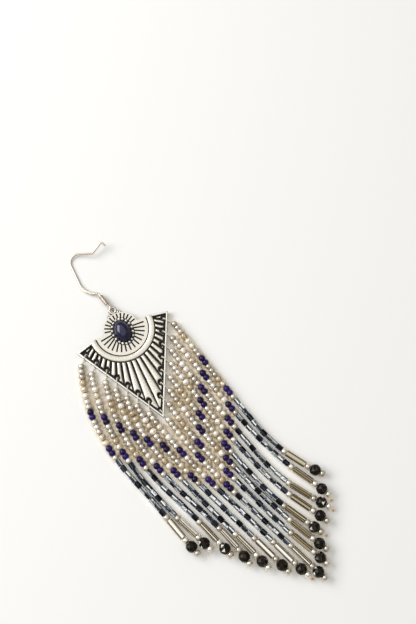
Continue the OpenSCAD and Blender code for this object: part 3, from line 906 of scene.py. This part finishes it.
def rims():
    """A rounded rim from near one shoulder to corner, tip, corner and near the other shoulder."""
    rings = []
    for place in range(5):
        ring = []
        for d, z in RIM_SHAPE:
            c = inset_outline(d)
            right, left = (c[a] + (c[b] - c[a]) * (1 - RIM_BARE) for a, b in ((0, 1), (3, 2)))
            q = [right, c[0], c[4], c[3], left][place]
            ring.append((q[0] + MOVE[0], q[1] + MOVE[1], z))
        rings.append(ring)
    return mesh_object("plaque_rims", *skin(rings))


rim = rims()
smooth_by_angle(rim, 42)
mark_upward(rim, 0.8)
finished(rim, RIM_CAST, "antique_silver")
finished(granules(), GRAIN_METAL, "antique_silver")


# The ear wire and its coil

# Each run of the wire: its straight length, then the radius and the turn of the bend after it
WIRE = [(5.15, 0.7, 55), (0.2, 5.7, -68), (7.1, 2.6, -116), (4.2, 1.0, 52), (3.6, 0.5, -96), (1.4, 0, 0)]
# The wire's free end: how far back from the tip, and the share of the wire's radius there
WIRE_TIP = ((0.16, 1.0), (0.06, 0.88), (0.0, 0.55))
WIRE_R, WIRE_SIDES, WIRE_STEP, BEND_STEP = 0.315, 16, 1.2, 5
# The hammered bend's number, its half width, its half thickness, how fast it flattens and how square it is
FLAT_BEND, FLAT_HALF_W, FLAT_HALF_T, FLAT_ONSET, FLAT_SQUARENESS = 1, 0.525, 0.225, 4.5, 0.35
SHANK_HEADING, HOOK_PITCH, HOOK_LEAN = 103.0, 0.5, 9.0
RING_Y, RING_Z, EYE_R, EYE_WIRE_R, EYE_AROUND, EYE_SIDES = 8.4, 1.4, 1.0, 0.29, 36, 12
COIL_FROM, COIL_D, COIL_WIRE_D, COIL_PITCH, COIL_TURNS, COIL_STEPS, COIL_SIDES = 0.55, 1.7, 0.48, 0.46, 9, 28, 12
HOOK_START = np.append(np.array([0, RING_Y]) + 2 * EYE_R * direction(SHANK_HEADING), RING_Z) + MOVE
HOOK_TURN = np.array(
    Matrix.Rotation(math.radians(-HOOK_LEAN), 3, "Y") @ Matrix.Rotation(math.radians(-HOOK_PITCH), 3, "X"))


def wire_line():
    """Points along the ear wire: x, y, heading, half width and half thickness."""
    p, h = np.zeros(2), SHANK_HEADING
    line = [(p[0], p[1], h, WIRE_R, WIRE_R)]
    for j, (straight, radius, turn) in enumerate(WIRE):
        n = max(1, int(straight / WIRE_STEP))
        for m in range(1, n + 1):
            q = p + straight * m / n * direction(h)
            line.append((q[0], q[1], h, WIRE_R, WIRE_R))
        p = p + straight * direction(h)
        if radius:
            side = math.copysign(1, turn)
            c = p + radius * direction(h + 90 * side)
            n = max(4, round(abs(turn) / BEND_STEP))
            for m in range(1, n + 1):
                a = h + turn * m / n
                q = c + radius * direction(a - 90 * side)
                f = min(1, FLAT_ONSET * min(m / n, 1 - m / n)) if j == FLAT_BEND else 0
                line.append(
                    (q[0], q[1], a, WIRE_R + f * (FLAT_HALF_W - WIRE_R), WIRE_R + f * (FLAT_HALF_T - WIRE_R)))
            h += turn
            p = c + radius * direction(h - 90 * side)
    x, y, h = line.pop()[:3]
    for back, share in WIRE_TIP:
        line.append((x - back * direction(h)[0], y - back * direction(h)[1], h, WIRE_R * share, WIRE_R * share))
    return line


def ear_wire():
    """The wire's skin. Its hammered stretch is squared off with a soft corner."""
    rings = []
    for x, y, h, w, t in wire_line():
        side = direction(h + 90)
        power = 1 - FLAT_SQUARENESS * min(1.0, (w - WIRE_R) / (FLAT_HALF_W - WIRE_R))
        ring = []
        for k in range(WIRE_SIDES):
            a = 2 * math.pi * k / WIRE_SIDES
            c, s = (math.copysign(abs(f(a)) ** power, f(a)) for f in (math.cos, math.sin))
            local = np.array([x + side[0] * w * c, y + side[1] * w * c, t * s])
            ring.append(tuple(HOOK_START + HOOK_TURN @ local))
        rings.append(ring)
    return mesh_object("ear_wire", *skin(rings))


def eye_ring():
    """The wire's eye, upright in the plaque's cast ring."""
    centre = np.append(np.array([0, RING_Y]) + EYE_R * direction(SHANK_HEADING), RING_Z) + MOVE
    along = np.append(direction(SHANK_HEADING), 0)
    across = np.append(direction(SHANK_HEADING + 90), 0)
    rings = []
    for a in np.linspace(0, 2 * math.pi, EYE_AROUND, endpoint=False):
        out = math.cos(a) * along + math.sin(a) * np.array([0, 0, 1])
        rings.append([
            tuple(centre + (EYE_R + EYE_WIRE_R * math.cos(b)) * out + EYE_WIRE_R * math.sin(b) * across)
            for b in np.linspace(0, 2 * math.pi, EYE_SIDES, endpoint=False)])
    return mesh_object("hook_eye", *skin(rings, loop=True))


def wound_coil():
    """The thin wire wound round the shank."""
    coil = grown("shank_coil", mesh_object("coil_base", [], []), WIND_COIL, {
        "Radius": (COIL_D - COIL_WIRE_D) / 2 * MM, "Height": COIL_TURNS * COIL_PITCH * MM - COIL_WIRE_D * MM,
        "Turns": float(COIL_TURNS), "Wire Radius": COIL_WIRE_D / 2 * MM,
        "Steps": COIL_STEPS, "Sides": COIL_SIDES, "Material": WIRE_METAL})
    along = HOOK_TURN @ np.append(direction(SHANK_HEADING), 0)
    start = HOOK_START + along * (COIL_FROM + COIL_WIRE_D / 2)
    turn = Vector((0, 0, 1)).rotation_difference(Vector(along)).to_matrix().to_4x4()
    coil.data.transform(Matrix.Translation(Vector(start * MM)) @ turn)
    coil.data.polygons.foreach_set("use_smooth", [True] * len(coil.data.polygons))
    return coil


wire = ear_wire()
smooth_by_angle(wire, 50)
finished(wire, WIRE_METAL, "hook_silver", "ear_hook")
finished(eye_ring(), WIRE_METAL, "hook_silver")
finished(wound_coil(), WIRE_METAL, "hook_silver", "hook_coil")


# The surface, the light and the camera

FLOOR_REACH, GLOW_HALF_X, GLOW_HALF_Y, GLOW_STEP = 1500, 42, 72, 0.6
# Each painted glow's name, the beads that throw it, how far it reaches, and over what sum it grows to its full
# strength
GLOWS = (("tan_glow", "SCB", 1.5, 0.9), ("pale_glow", "SCBTGF", 2.2, 1.2))
GLOW_LEAST, BUGLE_GLOWS = 0.4, (-2.2, 2.2)


def floor_mesh():
    """A level sheet, finely divided under and round the earring."""
    xs, ys = (
        np.concatenate([[-FLOOR_REACH], np.arange(-half, half + 0.1, GLOW_STEP), [FLOOR_REACH]])
        for half in (GLOW_HALF_X, GLOW_HALF_Y))
    n = len(xs)
    faces = [
        (j * n + i, j * n + i + 1, (j + 1) * n + i + 1, (j + 1) * n + i)
        for j in range(len(ys) - 1) for i in range(n - 1)]
    return mesh_object("pale_surface", [(x, y, 0) for y in ys for x in xs], faces)


def mark_glows(floor):
    """Stores how much of the tinted light that beads throw falls on each point of the floor, for the floor to paint on
    as painted light.
    """
    at = np.array([v.co[:2] for v in floor.data.vertices]) / MM
    for name, kinds, reach, growth in GLOWS:
        glow = np.zeros(len(at))
        for centres, heads, _, loop in RUNS:
            sources = [p[:2] for p, kind in zip(centres, ORDER) if kind in kinds]
            if "G" in kinds:
                sources += [centres[BUGLE][:2] + d * direction(heads[BUGLE]) for d in BUGLE_GLOWS]
                sources += [p[:2] for p in loop[1:4]]
            for p in sources:
                glow += np.exp(-((at - p) ** 2).sum(1) / reach ** 2)
        stored = floor.data.attributes.new(name, "FLOAT", "POINT")
        stored.data.foreach_set("value", np.clip((glow - GLOW_LEAST) / growth, 0, 1))


def pale_floor_painted_glow():
    """A pale matte surface with painted light near the beads: by the seed beads it turns tan and darker in spots, as
    painted shade, and by all beads it glows, as painted light, tan by the seed beads, else pale.
    """
    f = Finish("pale_floor_painted_glow", roughness=0.9, specular_ior_level=0.1, emission_strength=1.0)
    tan, pale = f.stored("tan_glow"), f.stored("pale_glow")
    speckle = f.noise(0.9, 2)
    # Painted shade: near the seed beads the floor turns tan and darker in spots
    painted_tan_shade = f.ramp(speckle, [(0.32, (0.40, 0.28, 0.14)), (0.48, (0.70, 0.59, 0.41)), (0.64, (0.95, 0.90, 0.79))])
    f.feed("Base Color", f.blend(tan, (0.892, 0.908, 0.918), painted_tan_shade))
    # Painted light: the floor glows near all beads, with darker and lighter flecks near the seed beads
    flecks = f.blend(speckle.steps(0.34, 0.62), (0.02, 0.01, 0), (0.19, 0.165, 0.12))
    light = f.blend(tan, (0.12, 0.105, 0.075), flecks)
    f.feed("Emission Color", f.blend(pale, (0, 0, 0), light))
    return f.material


floor = floor_mesh()
mark_glows(floor)
floor.data.materials.append(pale_floor_painted_glow())


def soft_light(name, shape, at, width, height, power, colour):
    """An area light that faces the origin. Its place and size are in metres, its power in watts."""
    light = bpy.data.lights.new(name, "AREA")
    light.shape, light.size, light.size_y, light.energy, light.color = shape, width, height, power, colour
    lamp = bpy.data.objects.new(name, light)
    lamp.location = at
    lamp.rotation_euler = (Vector((0, 0, 0)) - Vector(at)).to_track_quat("-Z", "Y").to_euler()
    bpy.context.scene.collection.objects.link(lamp)


soft_light("window_light", "RECTANGLE", (-0.50, 0.505, 0.53), 0.8, 0.45, 6.4, (1.0, 0.985, 0.963))
soft_light("overhead_light", "ELLIPSE", (-0.1, 0.2, 1.0), 1.8, 1.8, 5.95, (0.95, 0.975, 1.0))

world = bpy.data.worlds.new("room")
world.use_nodes = True
world.node_tree.nodes["Background"].inputs[0].default_value = (1.0, 0.9, 0.76, 1)
world.node_tree.nodes["Background"].inputs[1].default_value = 0.34
bpy.context.scene.world = world
bpy.context.scene.view_settings.view_transform = "Standard"

LENS, SENSOR, NEAREST = 50.0, 36.0, 0.01
# The point that the camera looks at, and the camera's place from there
TARGET = MOVE + [27.06, -4.95, 0.0]
CAMERA_FROM = np.array([-34.1, -69.2, 263.8])
camera_data = bpy.data.cameras.new("camera")
camera_data.sensor_fit, camera_data.sensor_height, camera_data.sensor_width = "VERTICAL", SENSOR, SENSOR
camera_data.lens, camera_data.clip_start = LENS, NEAREST
camera = bpy.data.objects.new("camera", camera_data)
camera.location = (TARGET + CAMERA_FROM) * MM
camera.rotation_euler = Vector(-CAMERA_FROM).to_track_quat("-Z", "Y").to_euler()
bpy.context.scene.collection.objects.link(camera)
bpy.context.scene.camera = camera
